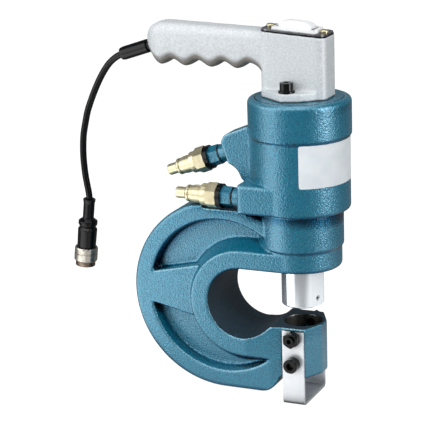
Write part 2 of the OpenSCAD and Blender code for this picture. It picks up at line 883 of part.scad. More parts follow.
module handle() {
    size = switch_body_size;
    color(cast_alloy) difference() {
        union() {
            handle_block();
            grip();
        }
        on_face() translate([-block_l / 2, -block_w, 0]) cube([2 * block_l, 2 * block_w, block_l]);
        on_face() translate([-size.x / 2 - seat_fit, -size.y / 2 - seat_fit, -size.z - cut])
            cube([size.x + 2 * seat_fit, size.y + 2 * seat_fit, size.z + 2 * cut]);
        both_sides() translate([handle_bolt_at.x, -handle_bolt_at.y, top_z - cut])
            cylinder(r = handle_bolt_r + run_fit, h = handle_flange_t + 2 * cut);
        on_face() for (x = [-switch_screw_x, switch_screw_x]) translate([x, 0, -switch_screw_l])
            cylinder(r = switch_screw_r + run_fit, h = switch_screw_l + cut);
        sleeve_axis() cylinder(r = sleeve_spigot_r + run_fit, h = sleeve_l + sleeve_spigot_l);
        sleeve_axis() cylinder(r = sleeve_r + seat_fit, h = sleeve_l);
    }
}

module handle_bolts() {
    seat_z = top_z + handle_flange_t;
    color(black) both_sides() translate([handle_bolt_at.x, -handle_bolt_at.y, seat_z]) difference() {
        union() {
            translate([0, 0, -handle_bolt_l]) cylinder(r = handle_bolt_r, h = handle_bolt_l);
            rotate_extrude() polygon(rounded([
                [0, 0, 0], [handle_bolt_flange_r, 0, 0.4], [handle_bolt_flange_r, 2.5, 0.8],
                [handle_bolt_head_r, 3, 0], [handle_bolt_head_r, handle_bolt_head_h + 2, 1],
                [0, handle_bolt_head_h + 2, 0]
            ], 3));
        }
        translate([0, 0, handle_bolt_head_h / 2]) hex(1.5 * handle_bolt_r, handle_bolt_head_h);
    }
}

// Switch
module stem_opening(h) {
    translate([-stem_slot.x / 2, -stem_slot.y / 2, -cut]) cube([stem_slot.x, stem_slot.y, h + 2 * cut]);
}

module face_plate(z, h, inset) {
    on_face() translate([0, 0, z]) difference() {
        linear_extrude(h) translate([-block_x, 0]) block_outline(inset);
        stem_opening(h);
        for (x = [-switch_screw_x, switch_screw_x]) translate([x, 0, -cut])
            cylinder(r = switch_screw_r + run_fit, h = h + 2 * cut);
    }
}

module switch_gasket() {
    color(black) face_plate(0, gasket_t, 0.5);
}

module switch_plate() {
    color(black) face_plate(gasket_t, plate_t, plate_inset);
}

module switch_body() {
    size = switch_body_size;
    color(black) on_face() translate([0, 0, -size.z]) difference() {
        translate([-size.x / 2, -size.y / 2, 0]) cube(size);
        translate([-stem_slot.x / 2, -stem_slot.y / 2, size.z - stem_slot.z])
            cube([stem_slot.x, stem_slot.y, stem_slot.z + cut]);
        translate([0, 0, size.z + pivot_z]) rod_y(pivot_r + run_fit, -pin_l / 2, pin_l);
    }
}

module switch_bezel() {
    l = rocker_l / 2 + bezel_gap;
    w = rocker_w / 2 + 1;
    out = bezel_wall;
    color(white) on_face() translate([0, 0, plate_z]) difference() {
        intersection() {
            linear_extrude(bezel_h) polygon(box_outline(-l - out, -w - out, l + out, w + out, 3));
            rotate([90, 0, 0]) translate([0, 0, -w - out]) linear_extrude(2 * (w + out))
                polygon([[-l - out, 0], [l + out, 0], [l + out / 2, bezel_h], [-l - out / 2, bezel_h]]);
        }
        translate([-l, -w, -cut]) cube([2 * l, 2 * w, bezel_h + 2 * cut]);
    }
}

module switch_rocker() {
    half = rocker_l / 2;
    color(white) on_face() difference() {
        union() {
            translate([0, 0, plate_z]) intersection() {
                across(rocker_w / 2) polygon(rounded([
                    [-half, rocker_lift, 0.6], [half, rocker_lift, 0.6], [half - 1, rocker_h - 3, 3],
                    [half * 0.45, rocker_h, 8], [-half * 0.45, rocker_h, 8], [-half + 1, rocker_h - 3, 3]
                ]));
                rotate([90, 0, 90]) translate([0, 0, -half]) linear_extrude(2 * half) polygon(rounded([
                    [-rocker_w / 2, 0, 0], [rocker_w / 2, 0, 0], [rocker_w / 2 - 1, rocker_h, 4],
                    [-rocker_w / 2 + 1, rocker_h, 4]
                ]));
            }
            translate([-stem.x / 2, -stem.y / 2, pivot_z - stem.x / 2])
                cube([stem.x, stem.y, plate_z + rocker_lift + cut - pivot_z + stem.x / 2]);
        }
        translate([0, 0, pivot_z]) rod_y(pivot_r + run_fit, -pin_l / 2, pin_l);
    }
}

module rocker_pin() {
    color(steel) on_face() translate([0, 0, pivot_z])
        rod_y(pivot_r, -pin_l / 2 + seat_fit, pin_l - 2 * seat_fit);
}

module switch_screws() {
    at = [-switch_screw_x, switch_screw_x];
    color(yellow_zinc) on_face() for (x = at) translate([x, 0, plate_z]) difference() {
        union() {
            translate([0, 0, -switch_screw_l]) cylinder(r = switch_screw_r, h = switch_screw_l + cut);
            rotate_extrude() polygon(rounded([
                [0, 0, 0], [switch_screw_head_r, 0, 0], [switch_screw_head_r, switch_screw_head_h, 1.6],
                [0, switch_screw_head_h, 0]
            ]));
        }
        translate([-switch_screw_head_r, -0.4, switch_screw_head_h - 1.2])
            cube([2 * switch_screw_head_r, 0.8, 2]);
    }
}

// Control cord
module cord_sleeve() {
    color(black) sleeve_axis() difference() {
        union() {
            rotate_extrude() polygon(rounded([
                [0, 0, 0], [sleeve_r - 0.6, 0, 0.8], [sleeve_r, 4, 0], [sleeve_r, sleeve_l, 0],
                [0, sleeve_l, 0]
            ]));
            cylinder(r = sleeve_spigot_r, h = sleeve_l + sleeve_spigot_l);
        }
        translate([0, 0, -cut]) cylinder(r = cord_r + cord_play, h = sleeve_l / 2);
    }
}

// Ring of points square to the route, which stays in the XZ plane
function route_tangent(k) =
    let (last = len(cord_route) - 1)
    unit(cord_route[min(k + 1, last)] - cord_route[max(k - 1, 0)]);
function cord_ring(k) =
    let (t = route_tangent(k), side = [-t.z, 0, t.x])
    [for (i = [0:cord_sides - 1])
        let (a = 360 * i / cord_sides)
        cord_route[k] + cord_r * (cos(a) * side + sin(a) * [0, 1, 0])];

module control_cord() {
    color(black) loft([for (k = [0:len(cord_route) - 1]) cord_ring(k)]);
}

// Plug, along +Z from the cord end of its boot
module to_plug() {
    translate(plug_at) rotate([0, 180 + plug_lean, 0]) children();
}

module plug_boot() {
    bulge_z = neck_l + bulge_l / 2;
    color(black) to_plug() difference() {
        rotate_extrude() polygon(rounded([
            [0, 0, 0], [neck_r + 0.8, 0, 0.6], [neck_r + 0.6, 2.5, 1], [neck_r, 5, 2], [neck_r, neck_l, 3],
            [boot_r - 0.2, bulge_z - 2, 1.5], [boot_r - 0.2, bulge_z + 2, 1.5],
            [boot_r - 2, neck_l + bulge_l, 1], [boot_r, neck_l + bulge_l + 3, 1.5],
            [boot_r - 0.4, boot_l, 0.8], [0, boot_l, 0]
        ]));
        translate([0, 0, -cut]) cylinder(r = cord_r + cord_play, h = cord_seat_l + cut);
        translate([0, 0, shell_z]) cylinder(r = shell_r + run_fit, h = boot_l);
    }
}

module plug_shell() {
    color(steel) to_plug() difference() {
        union() {
            translate([0, 0, shell_z]) cylinder(r = shell_r, h = shell_collar_z - shell_z + cut);
            translate([0, 0, shell_collar_z]) cylinder(r = ring_r - 2, h = barrel_end - shell_collar_z);
        }
        translate([0, 0, insert_z]) cylinder(r = insert_r + run_fit, h = barrel_end);
    }
}

module plug_insert() {
    color(black) to_plug() difference() {
        translate([0, 0, insert_z]) cylinder(r = insert_r, h = 8);
        plug_pin_places() translate([0, 0, -cut]) cylinder(r = pin_r + run_fit, h = barrel_end);
    }
}

module plug_pin_places() {
    for (i = [0:pin_count - 1])
        rotate([0, 0, 360 * i / pin_count]) translate([pin_circle, 0, insert_z + 3]) children();
}

module plug_pins() {
    color(copper) to_plug() plug_pin_places() cylinder(r = pin_r, h = 9);
}

module coupling_ring() {
    color(steel) to_plug() difference() {
        translate([0, 0, ring_z]) rotate_extrude() polygon(rounded([
            [0, 0, 0], [ring_r - 0.8, 0, 0.5], [ring_r, 1.5, 0.5], [ring_r, 6, 0], [ring_r - 0.5, 6.4, 0],
            [ring_r - 0.5, 7.2, 0], [ring_r, 7.6, 0], [ring_r, ring_l - 1, 0.5],
            [ring_r - 0.6, ring_l, 0.3], [0, ring_l, 0]
        ], 3));
        translate([0, 0, ring_z - cut]) cylinder(r = shell_r + run_fit, h = ring_l);
        translate([0, 0, shell_collar_z - 0.3]) cylinder(r = ring_r - 1.7, h = ring_l);
    }
}

// Foot strap and the jaw screws
module foot_strap() {
    color(steel) difference() {
        translate([-strap_w / 2, 0, 0]) rotate([90, 0, 90]) linear_extrude(strap_w) difference() {
            polygon(rounded([
                [-strap_out, strap_top, 0], [-strap_out, -strap_drop, strap_bend],
                [strap_out, -strap_drop, strap_bend], [strap_out, strap_top, 0]
            ]));
            polygon(rounded([
                [-strap_in, strap_top + cut, 0], [-strap_in, strap_t - strap_drop, strap_bend - strap_t],
                [strap_in, strap_t - strap_drop, strap_bend - strap_t], [strap_in, strap_top + cut, 0]
            ]));
        }
        for (z = [lock_z, clamp_z]) translate([0, 0, z]) rod_y(jaw_screw_r + 0.3, -jaw_w, 2 * jaw_w);
    }
}

module strap_screws() {
    color(black) both_sides() translate([0, 0, clamp_z]) difference() {
        union() {
            rod_y(jaw_screw_r - run_fit, -strap_out - cut, strap_t + cut + clamp_depth - cut);
            translate([0, -strap_out, 0]) rotate([90, 0, 0]) rotate_extrude() polygon(rounded([
                [0, 0, 0], [head_r, 0, 0], [head_r, head_h, 1], [0, head_h, 0]
            ]));
        }
        translate([0, -strap_out - head_h / 2, 0]) rotate([90, 0, 0]) hex(1.6 * jaw_screw_r, head_h);
    }
}

module die_lock_screws() {
    outer = strap_out + nut_h + lock_proud;
    color(black) both_sides() translate([0, 0, lock_z]) difference() {
        rod_y(jaw_screw_r - run_fit, -outer, outer - die_r - 0.3);
        translate([0, -outer + jaw_screw_r, 0]) rotate([90, 0, 0]) hex(jaw_screw_r, 2 * jaw_screw_r);
    }
}

module die_lock_nuts() {
    color(black) both_sides() translate([0, -strap_out, lock_z]) rotate([90, 30, 0]) difference() {
        intersection() {
            hex(nut_af, nut_h);
            rotate_extrude() polygon([
                [0, 0], [nut_af * 0.58, 0], [nut_af * 0.58, nut_h - 1.2], [nut_af / 2 - 0.4, nut_h],
                [0, nut_h]
            ]);
        }
        translate([0, 0, -cut]) cylinder(r = jaw_screw_r, h = nut_h + 2 * cut);
    }
}

c_frame();
cylinder_body();
end_plug();
end_plug_seal();
rod_guide();
guide_seal();
rod_seal();
rod_wiper();
piston_rod();
piston();
piston_seals();
piston_nut();
punch_set_screw();
upper_adapter();
lower_adapter();
adapter_rings();
coupler_washers();
upper_nipple();
lower_nipple();
upper_poppet();
lower_poppet();
handle();
handle_bolts();
switch_gasket();
switch_plate();
switch_body();
switch_bezel();
switch_rocker();
rocker_pin();
switch_screws();
cord_sleeve();
control_cord();
plug_boot();
plug_shell();
plug_insert();
plug_pins();
coupling_ring();
foot_strap();
strap_screws();
die_lock_screws();
die_lock_nuts();
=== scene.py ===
import json
import math

import bmesh
import bpy
from mathutils import Matrix, Vector


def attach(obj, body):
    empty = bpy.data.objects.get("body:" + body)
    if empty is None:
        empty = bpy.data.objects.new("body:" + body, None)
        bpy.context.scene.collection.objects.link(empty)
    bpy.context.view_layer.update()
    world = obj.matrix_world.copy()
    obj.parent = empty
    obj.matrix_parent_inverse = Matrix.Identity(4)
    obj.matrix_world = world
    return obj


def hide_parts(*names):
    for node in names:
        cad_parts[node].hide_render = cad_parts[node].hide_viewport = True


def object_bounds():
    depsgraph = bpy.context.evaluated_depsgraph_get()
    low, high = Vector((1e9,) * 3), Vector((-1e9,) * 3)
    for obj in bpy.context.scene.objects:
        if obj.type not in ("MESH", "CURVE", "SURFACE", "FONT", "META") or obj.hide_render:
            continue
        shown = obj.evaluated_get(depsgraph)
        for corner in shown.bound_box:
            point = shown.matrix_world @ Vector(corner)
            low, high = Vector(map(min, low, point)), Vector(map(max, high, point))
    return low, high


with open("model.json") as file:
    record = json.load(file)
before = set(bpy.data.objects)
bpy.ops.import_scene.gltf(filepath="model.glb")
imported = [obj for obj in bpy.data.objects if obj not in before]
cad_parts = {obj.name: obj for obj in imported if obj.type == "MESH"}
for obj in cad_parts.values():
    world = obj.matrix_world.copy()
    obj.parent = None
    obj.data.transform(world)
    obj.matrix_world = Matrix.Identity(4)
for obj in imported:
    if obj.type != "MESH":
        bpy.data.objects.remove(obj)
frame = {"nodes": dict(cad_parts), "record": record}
cad_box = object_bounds()
nodes = frame["nodes"]
scene = bpy.context.scene

BLACK = (0, 0, 0, 1)
WHITE = (1, 1, 1, 1)

# Camera, as the photograph was taken; the offsets go from the origin to the middle of the picture
PHOTO_PIXELS = 430
FOCAL_PIXELS = 1719.4
CAMERA_AZIMUTH = math.radians(24.51)
CAMERA_ELEVATION = math.radians(15.77)
CAMERA_ROLL = math.radians(-1.875)
CAMERA_DISTANCE = 1.8819
CAMERA_REACH = 100
OFFSET_RIGHT = -0.0968
OFFSET_UP = 0.11438
SENSOR_MM = 36.0

# Cord route, from inside the sleeve to inside the plug's boot
CORD_DIAMETER = 0.0075
CORD_ROUND_STEPS = 6
CORD_LENGTH_STEPS = 8
CORD_ROUTE = [
    (-0.197, 0, 0.2886), (-0.2065, 0, 0.2855), (-0.2155, 0, 0.281), (-0.224, 0, 0.274), (-0.2315, 0, 0.2645),
    (-0.238, 0, 0.254), (-0.244, 0, 0.2425), (-0.2495, 0, 0.2305), (-0.2545, 0, 0.218), (-0.258, 0, 0.205),
    (-0.261, 0, 0.192), (-0.2625, 0, 0.179), (-0.263, 0, 0.166), (-0.2625, 0, 0.153), (-0.2615, 0, 0.142),
    (-0.260, 0, 0.132), (-0.2587, 0, 0.124), (-0.2582, 0, 0.117), (-0.2585, 0, 0.110),
]

# Bare plate on the barrel
PLATE_RADIUS = 0.0538
PLATE_THICKNESS = 0.0003
PLATE_LOW = 0.1615
PLATE_HIGH = 0.2075
PLATE_FROM = math.radians(-71)
PLATE_TO = math.radians(16)
PLATE_CORNER = 0.0025
PLATE_STEPS = 60

# Softened casting skins
WELD_DISTANCE = 1e-6
CAST_VOXEL = 0.0011
CAST_SMOOTHING = 7
CAST_SMOOTHING_FACTOR = 0.5

# Painted shade: paint is made deeper in hollows, except on faces that turn to the lamp
CREASE_REACH = 0.014
CREASE_RANGE = (0.5, 0.88)
CREASE_PAINTED_SHADE = (0.03, 0.06, 0.08, 1)
LAMP_SIDE = (-0.5, -0.62, 0.6)
LAMP_RANGE = (0.25, 0.62)

# Painted shadow: paint is made deeper, and loses its white sheen, in the lee of what stands above it or to
# its left
LEE_SIDE = (-0.4, 0, 0.8)
LEE_UPRIGHT = 0.42
LEE_REACH = 0.016
LEE_RANGE = (0.34, 0.64)
LEE_PAINTED_SHADOW = (0.1, 0.36, 0.46, 1)
LEE_METALLIC = 1.0
PAINT_METALLIC = 0.3

# Painted highlight: paint is made pale along edges that turn to the lamp
PAINTED_EDGE_HIGHLIGHT = (112, 164, 184)
PAINTED_EDGE_HIGHLIGHT_RANGE = (0.508, 0.54)

# Painted shade: castings are made deeper where they turn down, and metal is made darker in its grooves and
# hollows
DOWN = (0, 0, -1)
UNDERSIDE_RANGE = (0.03, 0.32)
UNDERSIDE_SHADE = (0.2, 0.42, 0.52, 1)
ALLOY_UNDERSIDE_SHADE = (0.3, 0.27, 0.24, 1)
HOLLOW_SHADE_RANGE = (0.35, 0.85)
HOLLOW_SAMPLES = 8

# Plain finishes. Colours are sRGB. Grain and sheen: scale, detail and stretch of the noise in the colour and
# in the roughness. Relief: scale and detail of a noise, strength, depth. Painted shade in hollows: reach and
# shade
COLOUR_SPAN = (0.3, 0.7)
FINISHES = {
    # The alloy gets painted shade where it turns down
    "cast_alloy": dict(
        colours=((188, 193, 196), (212, 217, 220)), grain=(480, 6), metallic=0.1, shade_turned_down=ALLOY_UNDERSIDE_SHADE,
        sheen=(300, 3), roughness=(0.42, 0.6), relief=(650, 3, 0.25, 0.0003)),
    # Dark bare casting, made dark enough to be painted shade as well
    "bare_casting_and_shade": dict(
        colours=((20, 36, 46), (40, 62, 76)), grain=(420, 4), metallic=0.1, specular=0.3,
        sheen=(500, 2), roughness=(0.42, 0.6), relief=(900, 3, 0.3, 0.0003)),
    "bored_steel": dict(
        colours=((18, 19, 19), (128, 130, 125)), grain=(48, 2, (1, 1, 0.05)), span=(0.4, 0.68), metallic=0.8,
        sheen=(400, 2, (1, 1, 8)), roughness=(0.24, 0.4)),
    "chrome": dict(
        colours=((220, 228, 234), (238, 243, 247)), grain=(40, 2, (1, 1, 0.1)), metallic=0.7,
        sheen=(500, 2, (0.1, 0.1, 1)), roughness=(0.1, 0.2)),
    "bright_steel": dict(
        colours=((230, 235, 239), (244, 247, 250)), grain=(60, 4), metallic=0.65,
        # Painted shade in the steel's hollows
        hollow_shade=(0.02, (0.1, 0.11, 0.12, 1)),
        sheen=(420, 3), roughness=(0.24, 0.36), relief=(700, 2, 0.02, 0.0002)),
    "nickel": dict(
        colours=((150, 145, 136), (188, 183, 174)), grain=(300, 4), metallic=0.9,
        # Painted shade in the nickel's grooves
        hollow_shade=(0.004, (0.14, 0.12, 0.1, 1)),
        sheen=(500, 2, (0.2, 0.2, 1)), roughness=(0.22, 0.36)),
    "dull_brass": dict(
        colours=((84, 72, 62), (126, 111, 97)), grain=(300, 4), metallic=0.9,
        sheen=(500, 2), roughness=(0.28, 0.42)),
    "yellow_plating": dict(
        colours=((190, 180, 144), (214, 206, 176)), grain=(160, 4), metallic=0.75,
        # Painted shade in the plating's grooves
        hollow_shade=(0.003, (0.05, 0.03, 0.01, 1)),
        sheen=(500, 2), roughness=(0.24, 0.36)),
    "bronze": dict(
        colours=((170, 122, 74), (196, 150, 96)), grain=(80, 4), metallic=1.0,
        sheen=(400, 2), roughness=(0.28, 0.42)),
    "copper": dict(
        colours=((190, 112, 72), (218, 142, 100)), grain=(300, 3), metallic=1.0,
        sheen=(600, 2), roughness=(0.24, 0.36)),
    "black_rubber": dict(
        colours=((3, 3, 5), (9, 9, 11)), grain=(260, 4), specular=0.22,
        sheen=(350, 3), roughness=(0.17, 0.27), relief=(1100, 2, 0.08, 0.0002)),
    "black_oxide": dict(
        colours=((4, 4, 5), (11, 11, 12)), grain=(260, 4), specular=0.3,
        sheen=(400, 3), roughness=(0.1, 0.2), relief=(900, 2, 0.08, 0.0002)),
    "dark_steel": dict(
        colours=((96, 98, 102), (126, 128, 132)), grain=(200, 4), metallic=0.8,
        sheen=(500, 2), roughness=(0.22, 0.32)),
    "black_plastic": dict(
        colours=((9, 9, 10), (18, 18, 20)), grain=(200, 3), specular=0.2,
        sheen=(500, 2), roughness=(0.34, 0.48), relief=(1200, 2, 0.08, 0.0002)),
    "white_plastic": dict(
        colours=((232, 234, 235), (243, 244, 245)), grain=(50, 3),
        sheen=(300, 2), roughness=(0.28, 0.38), relief=(900, 2, 0.04, 0.0002)),
    "plate_film": dict(
        colours=((220, 227, 232), (231, 237, 241)), grain=(60, 3), specular=0.1,
        sheen=(200, 2), roughness=(0.44, 0.54)),
}

# Which finish each of the record's material slots takes, and the nodes that take one of their own
SLOT_FINISHES = {
    "cast_alloy": "cast_alloy",
    "steel": "bright_steel",
    "chrome": "chrome",
    "bronze": "bronze",
    "seal_rubber": "black_rubber",
    "black_steel": "black_oxide",
    "yellow_zinc": "yellow_plating",
    "black_plastic": "black_plastic",
    "white_plastic": "white_plastic",
    "copper": "copper",
}
NODE_FINISHES = {"coupling_ring": "nickel", "plug_shell": "dull_brass", "switch_plate": "dark_steel"}

# Bore of the die seat, with a little over it for the softened edge
SEAT_RADIUS = 0.0214
SEAT_FLOOR = -0.04
SEAT_TOP = -0.0012
SEAT_LIP = 0.0025

# The throat's round end and the jaw's top, and how far a face turns before it counts as an edge or a flat
THROAT_X = -0.0558
THROAT_Z = 0.0253
THROAT_RADIUS = 0.0402
THROAT_FRONT = -0.03
JAW_END = 0.04
EDGE_TURN = 0.5
FLAT_TURN = 0.8

# Where the spoke runs into the throat band, as (x, z) points
SPOKE_ROOT = [(-0.116, 0.0033), (-0.1008, -0.0001), (-0.1008, 0.0641), (-0.116, 0.0607)]
SPOKE_HALF_WIDTH = 0.036

# Pale floor: its colour, its glow to the camera, and its glow in reflections
FLOOR_SIZE = 16.0
FLOOR_COLOUR = (0.22, 0.22, 0.22, 1)
FLOOR_GLOW = 0.98
FLOOR_GLOW_MIRRORED = 0.06

# Painted pools of light on the floor in front of the softboxes, seen only in reflections: middle, full and
# faded radius, glow in reflections
PAINTED_LIGHT_POOLS = [
    ((-0.6, -0.56, 0), 0.25, 0.34, 3.0),
    ((-0.4, -0.3, 0), 0.18, 0.3, 2.7),
    ((-0.09, -0.19, 0), 0.11, 0.22, 1.0),
    ((0.33, 0.0, 0), 0.18, 0.42, 0.9),
]

# The room: its colour from the horizon up, its light, and its level in reflections
ROOM_LOW = (0.9, 0.93, 0.97, 1)
ROOM_HIGH = (0.3, 0.33, 0.37, 1)
ROOM_SPAN = (0.0, 0.8)
ROOM_LEVEL = 0.12
ROOM_LEVEL_MIRRORED = 0.3

# Softboxes, all aimed at the object's middle; some only light it, and one is only seen in reflections
LIGHT_AIM = (-0.08, 0.0, 0.12)
SOFTBOXES = [
    dict(name="left_box", place=(-0.96, -0.82, 0.5), size=(1.2, 1.15), power=12),
    dict(name="right_box", place=(1.1, -0.21, 0.46), size=(0.46, 1.1), power=12, lights=False),
    dict(name="right_fill", place=(1.4, -0.4, 0.7), size=(0.8, 0.8), power=13, mirrored=False),
    dict(name="top_box", place=(-0.1, -0.1, 1.6), size=(1.2, 1.2), power=9),
    dict(name="front_strip", place=(0.1, -1.3, 1.6), size=(2.2, 0.4), power=14),
    dict(name="front_fill", place=(0.2, -1.8, 0.5), size=(1.0, 1.0), power=5, mirrored=False),
    dict(name="back_fill", place=(0.4, 2.2, 1.0), size=(1.6, 1.6), power=16, mirrored=False),
]


def new_object(name, data):
    obj = bpy.data.objects.new(name, data)
    scene.collection.objects.link(obj)
    return obj


def add_camera():
    a, e, r = CAMERA_AZIMUTH, CAMERA_ELEVATION, CAMERA_ROLL
    back = Vector((math.sin(a) * math.cos(e), -math.cos(a) * math.cos(e), math.sin(e)))
    level = Vector((math.cos(a), math.sin(a), 0))
    upright = back.cross(level)
    right = level * math.cos(r) + upright * math.sin(r)
    up = upright * math.cos(r) - level * math.sin(r)
    place = Matrix((right, up, back)).transposed().to_4x4()
    place.translation = right * OFFSET_RIGHT + up * OFFSET_UP + back * CAMERA_DISTANCE
    data = bpy.data.cameras.new("camera")
    data.sensor_width = SENSOR_MM
    data.lens = SENSOR_MM * FOCAL_PIXELS / PHOTO_PIXELS
    data.clip_end = CAMERA_REACH
    scene.camera = new_object("camera", data)
    scene.camera.matrix_world = place


def add_cord():
    data = bpy.data.curves.new("cord", "CURVE")
    data.dimensions = "3D"
    data.bevel_depth = 1.0  # times each point's radius
    data.bevel_resolution = CORD_ROUND_STEPS
    data.resolution_u = CORD_LENGTH_STEPS
    data.use_fill_caps = True
    spline = data.splines.new("BEZIER")
    spline.bezier_points.add(len(CORD_ROUTE) - 1)
    route = [Vector(p) for p in CORD_ROUTE]
    before = [route[0]] + route[:-1]
    after = route[1:] + [route[-1]]
    for point, place, a, b in zip(spline.bezier_points, route, before, after):
        spans = (a != place) + (place != b)
        along = (b - a) / (3 * spans)
        point.handle_left_type = point.handle_right_type = "FREE"
        point.co, point.handle_left, point.handle_right = place, place - along, place + along
        point.radius = CORD_DIAMETER / 2
    cord = new_object("cord", data)
    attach(cord, "frame")
    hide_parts("control_cord")
    return cord


def linear(srgb):
    """An sRGB colour, 0 to 255, as the shader's linear colour."""
    def channel(v):
        v = v / 255
        return v / 12.92 if v <= 0.04045 else ((v + 0.055) / 1.055) ** 2.4
    r, g, b = map(channel, srgb)
    return r, g, b, 1.0


class Nodes:
    """A shader's node tree, with short ways to add nodes."""

    def __init__(self, tree):
        self.tree = tree

    def feed(self, socket, value):
        """Link an output to a socket, or set the socket to a plain value."""
        if isinstance(value, bpy.types.NodeSocket):
            self.tree.links.new(value, socket)
        else:
            socket.default_value = value

    def add(self, kind, *inputs, **values):
        """A node with its settings and inputs by name, then inputs in their order."""
        node = self.tree.nodes.new("ShaderNode" + kind)
        for key, value in values.items():
            if hasattr(node, key):
                setattr(node, key, value)
            else:
                self.feed(node.inputs[key.replace("_", " ")], value)
        for socket, value in zip(node.inputs, inputs):
            self.feed(socket, value)
        return node

    def math(self, operation, *inputs):
        return self.add("Math", *inputs, operation=operation).outputs[0]

    def vector(self, operation, *inputs, result="Vector"):
        return self.add("VectorMath", *inputs, operation=operation).outputs[result]

    def spread(self, value, low, high):
        """A value from 0 to 1, spread over a range."""
        return self.add("MapRange", Value=value, To_Min=low, To_Max=high).outputs["Result"]

    def ramp(self, value, low, high, span=COLOUR_SPAN):
        """From one colour to another as a value crosses a span."""
        node = self.add("ValToRGB", Fac=value)
        for stop, position, colour in zip(node.color_ramp.elements, span, (low, high)):
            stop.position, stop.color = position, colour
        return node.outputs["Color"]

    def mixed(self, colour, other, factor, blend="MIX"):
        node = self.add("Mix", data_type="RGBA", blend_type=blend, Factor=factor, A=colour, B=other)
        return node.outputs["Result"]


class Surface(Nodes):
    """A Principled material whose colour, roughness and relief come from procedural noise."""

    def __init__(self, name, metallic=0.0):
        self.material = bpy.data.materials.new(name)
        self.material.use_nodes = True
        super().__init__(self.material.node_tree)
        self.shader = self.tree.nodes["Principled BSDF"]
        self.place = self.add("TexCoord").outputs["Object"]
        self.relief = None
        self.set(Metallic=metallic)

    def set(self, **values):
        """Set or link the shader's own inputs."""
        for key, value in values.items():
            self.feed(self.shader.inputs[key.replace("_", " ")], value)

    def noise(self, scale, detail, stretch=(1, 1, 1)):
        place = self.add("Mapping", Vector=self.place, Scale=stretch).outputs["Vector"]
        return self.add("TexNoise", Vector=place, Scale=scale, Detail=detail).outputs["Fac"]

    def cells(self, scale, smoothness):
        node = self.add("TexVoronoi", feature="SMOOTH_F1", Vector=self.place,
                        Scale=scale, Smoothness=smoothness)
        return node.outputs["Distance"]

    def bump(self, height, strength, depth):
        """Relief, on top of any that is there already."""
        node = self.add("Bump", Strength=strength, Distance=depth, Height=height)
        if self.relief is not None:
            self.feed(node.inputs["Normal"], self.relief)
        self.relief = node.outputs["Normal"]
        self.set(Normal=self.relief)

    def normal(self):
        return self.add("NewGeometry").outputs["Normal"]

    def facing(self, direction, span):
        """From 0 to 1 as the surface turns towards a direction."""
        toward = self.vector("DOT_PRODUCT", self.normal(), direction, result="Value")
        return self.ramp(toward, BLACK, WHITE, span)

    def openness(self, reach):
        """From 0 to 1, how free the space in front of the surface is."""
        return self.add("AmbientOcclusion", samples=HOLLOW_SAMPLES, Distance=reach).outputs["AO"]

    def lee_openness(self):
        """From 0 to 1, how free the space above and to the left of the surface is."""
        lean = self.vector("MULTIPLY_ADD", self.normal(), (LEE_UPRIGHT,) * 3, LEE_SIDE)
        node = self.add("AmbientOcclusion", samples=HOLLOW_SAMPLES, Distance=LEE_REACH,
                        Normal=self.vector("NORMALIZE", lean))
        return node.outputs["AO"]

    def creased(self, colour, openness, shade, span):
        """The colour, with painted shade made deeper where other surfaces stand close by."""
        return self.mixed(colour, self.ramp(openness, shade, WHITE, span), 1.0, "MULTIPLY")

    def shaded_below(self, colour, shade):
        """The colour, with painted shade where the surface turns down."""
        return self.mixed(colour, shade, self.facing(DOWN, UNDERSIDE_RANGE), "MULTIPLY")

    def paint_light_and_shade(self, colour):
        """Give paint its colour: painted shade makes it deeper in hollows, in the lee and below, and painted
        highlight makes it pale along edges.
        """
        lit = self.facing(LAMP_SIDE, LAMP_RANGE)
        lee = self.lee_openness()
        # Painted shade in hollows, left off faces that turn to the lamp
        hollow = self.math("MAXIMUM", self.openness(CREASE_REACH), lit)
        deep = self.creased(colour, hollow, CREASE_PAINTED_SHADE, CREASE_RANGE)
        # Painted shadow in the lee of what stands above or to the left
        deep = self.creased(deep, lee, LEE_PAINTED_SHADOW, LEE_RANGE)
        # Painted shade on faces turned down
        deep = self.shaded_below(deep, UNDERSIDE_SHADE)
        # Painted highlight along sharp edges that turn to the lamp
        sharp = self.add("NewGeometry").outputs["Pointiness"]
        edge = self.math("MULTIPLY", self.ramp(sharp, BLACK, WHITE, PAINTED_EDGE_HIGHLIGHT_RANGE), lit)
        # Where paint has painted shade or shadow it also loses its white sheen
        exposed = self.shaded_below(self.ramp(lee, BLACK, WHITE, LEE_RANGE), BLACK)
        self.set(Base_Color=self.mixed(deep, linear(PAINTED_EDGE_HIGHLIGHT), edge),
                 Metallic=self.spread(exposed, LEE_METALLIC, PAINT_METALLIC))


def plain_finish(name, colours, grain, sheen, roughness, span=COLOUR_SPAN, metallic=0.0,
                 specular=None, hollow_shade=None, shade_turned_down=None, relief=None):
    """A material from a row of FINISHES."""
    surface = Surface(name, metallic)
    colour = surface.ramp(surface.noise(*grain), *map(linear, colours), span)
    if hollow_shade:
        # Painted shade in the metal's hollows
        reach, shade = hollow_shade
        colour = surface.creased(colour, surface.openness(reach), shade, HOLLOW_SHADE_RANGE)
    # Painted shade where the surface turns down
    if shade_turned_down:
        colour = surface.shaded_below(colour, shade_turned_down)
    surface.set(Base_Color=colour, Roughness=surface.spread(surface.noise(*sheen), *roughness))
    if relief:
        scale, detail, strength, depth = relief
        surface.bump(surface.noise(scale, detail), strength, depth)
    if specular is not None:
        surface.set(Specular_IOR_Level=specular)
    return surface.material


def finish(name):
    return plain_finish(name, **FINISHES[name])


